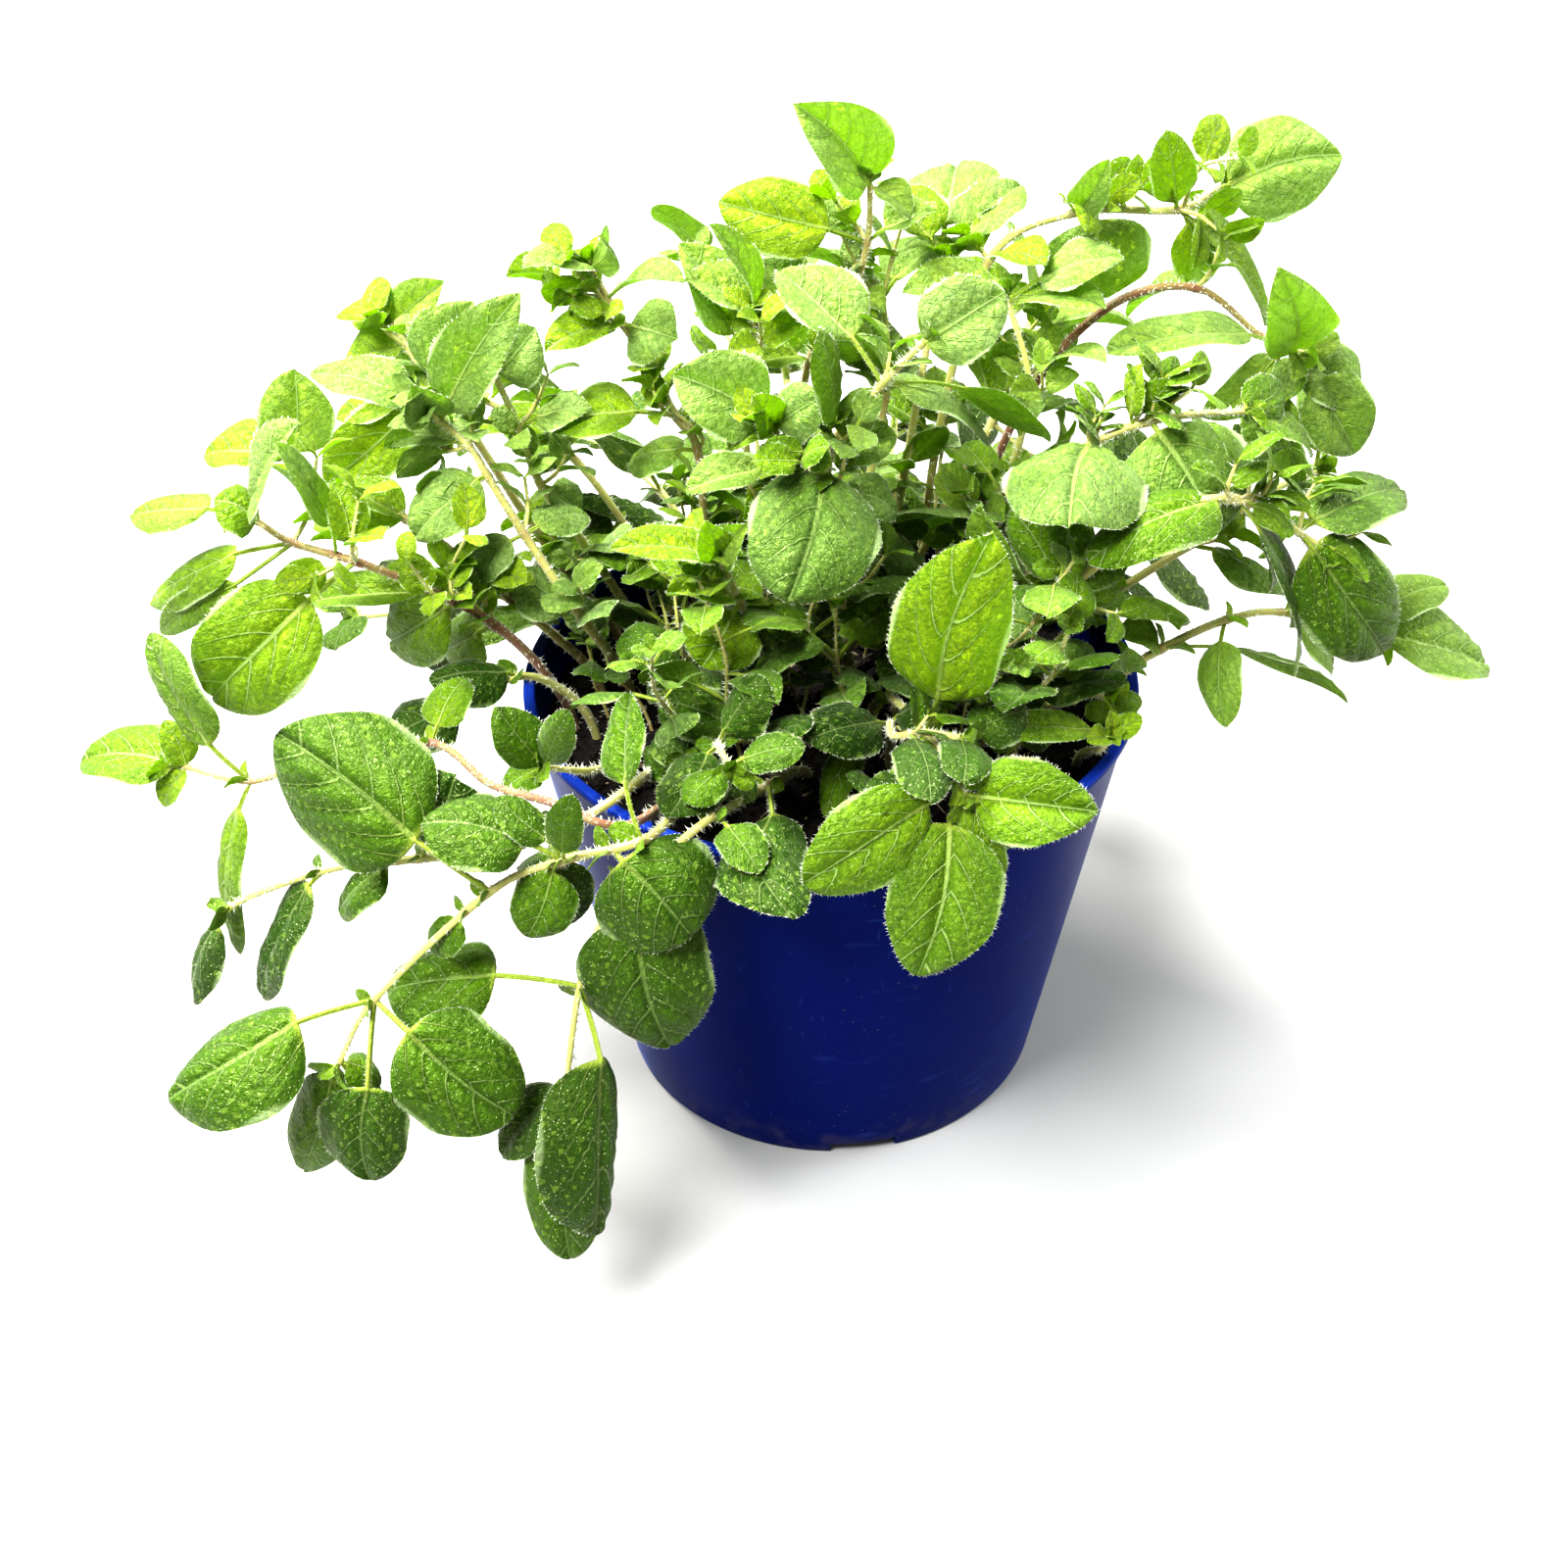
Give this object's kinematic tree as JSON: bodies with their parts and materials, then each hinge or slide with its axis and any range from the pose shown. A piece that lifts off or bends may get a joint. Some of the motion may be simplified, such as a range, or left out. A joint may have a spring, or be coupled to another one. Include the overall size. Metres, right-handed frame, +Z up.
{
  "type": "potted oregano plant",
  "caption": "Bushy oregano plant with small oval leaves on square stems, some trailing over the rim of a dark blue round nursery pot filled with peat",
  "frame": {"origin": "centre of the underside of the pot, on the surface that it stands on", "axes": "+Z up along the axis of the pot, +X to the right along the longest side of the plant, -Y to the front, where the stems trail over the rim"},
  "size_m": [0.2928, 0.2169, 0.214],
  "materials": {
    "pot": "satin",
    "soil": "matte",
    "trail_left": "matte",
    "trail_front": "matte",
    "front_right": "matte",
    "rim_right": "matte",
    "edge_right": "matte",
    "right_low": "matte",
    "right_mid": "matte",
    "arch_red": "matte",
    "top_right": "matte",
    "fan_right": "matte",
    "top_mid": "matte",
    "top_centre": "matte",
    "centre_high": "matte",
    "centre_left": "matte",
    "centre_mid": "matte",
    "centre_front": "matte",
    "shoot_left": "matte",
    "shoot_back": "matte",
    "fan_left": "matte",
    "left_back": "matte",
    "left_high": "matte",
    "left_far": "matte",
    "left_brown": "matte",
    "left_low": "matte",
    "rim_left": "matte",
    "trail_brown": "matte",
    "trail_low": "matte",
    "right_fan": "matte",
    "right_inner": "matte",
    "centre_dark": "matte",
    "centre_small": "matte",
    "back_a": "matte",
    "back_b": "matte",
    "back_c": "matte",
    "back_d": "matte",
    "back_e": "matte",
    "back_f": "matte",
    "back_g": "matte",
    "back_h": "matte",
    "back_i": "matte",
    "back_j": "matte",
    "middle_a": "matte",
    "middle_b": "matte",
    "middle_c": "matte"
  },
  "bodies": {
    "root": {"pot": "pot", "soil": "soil", "trail_left": "trail_left", "trail_front": "trail_front", "front_right": "front_right", "rim_right": "rim_right", "edge_right": "edge_right", "right_low": "right_low", "right_mid": "right_mid", "arch_red": "arch_red", "top_right": "top_right", "fan_right": "fan_right", "top_mid": "top_mid", "top_centre": "top_centre", "centre_high": "centre_high", "centre_left": "centre_left", "centre_mid": "centre_mid", "centre_front": "centre_front", "shoot_left": "shoot_left", "shoot_back": "shoot_back", "fan_left": "fan_left", "left_back": "left_back", "left_high": "left_high", "left_far": "left_far", "left_brown": "left_brown", "left_low": "left_low", "rim_left": "rim_left", "trail_brown": "trail_brown", "trail_low": "trail_low", "right_fan": "right_fan", "right_inner": "right_inner", "centre_dark": "centre_dark", "centre_small": "centre_small", "back_a": "back_a", "back_b": "back_b", "back_c": "back_c", "back_d": "back_d", "back_e": "back_e", "back_f": "back_f", "back_g": "back_g", "back_h": "back_h", "back_i": "back_i", "back_j": "back_j", "middle_a": "middle_a", "middle_b": "middle_b", "middle_c": "middle_c"}
  },
  "joints": []
}
